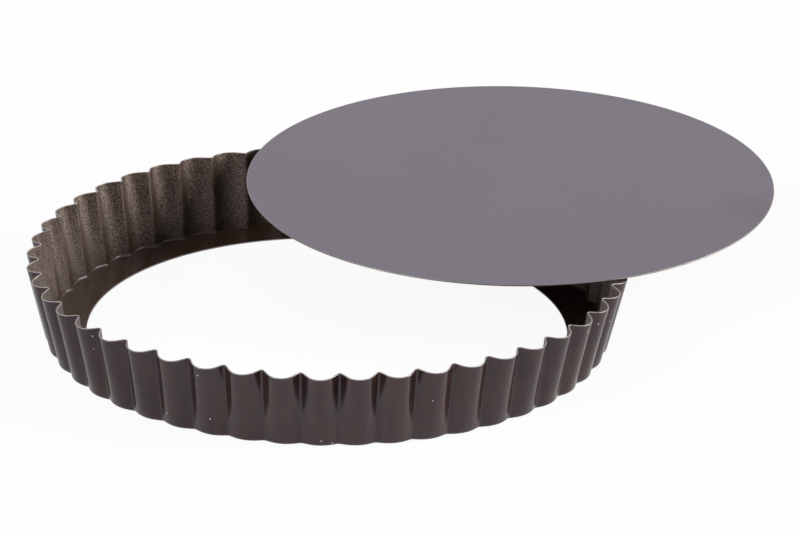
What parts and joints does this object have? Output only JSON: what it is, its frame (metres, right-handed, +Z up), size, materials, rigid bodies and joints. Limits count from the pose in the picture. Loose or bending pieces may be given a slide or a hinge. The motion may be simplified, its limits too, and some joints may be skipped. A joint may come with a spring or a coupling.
{
  "type": "fluted quiche dish",
  "caption": "Round fluted quiche tin, an open ring with an inward ledge, and a loose flat base that lies across its rim.",
  "frame": {"origin": "the ring's axis, level with the flat underside that the tin stands on", "axes": "+Z up along the ring's axis; +X through a flute crest; the loose base lies on the rim towards +X +Y"},
  "size_m": [0.3503, 0.3604, 0.0382],
  "materials": {
    "ring_coat": "satin",
    "base_coat": "satin"
  },
  "bodies": {
    "ring": {"fluted_ring": "ring_coat"},
    "base": {"loose_base": "base_coat"}
  },
  "joints": [
    {"name": "base_lift", "type": "slide", "parent": "ring", "child": "base", "axis": [-0.6352, -0.7115, 0.3005], "range_m": [0, 0.1331]}
  ]
}
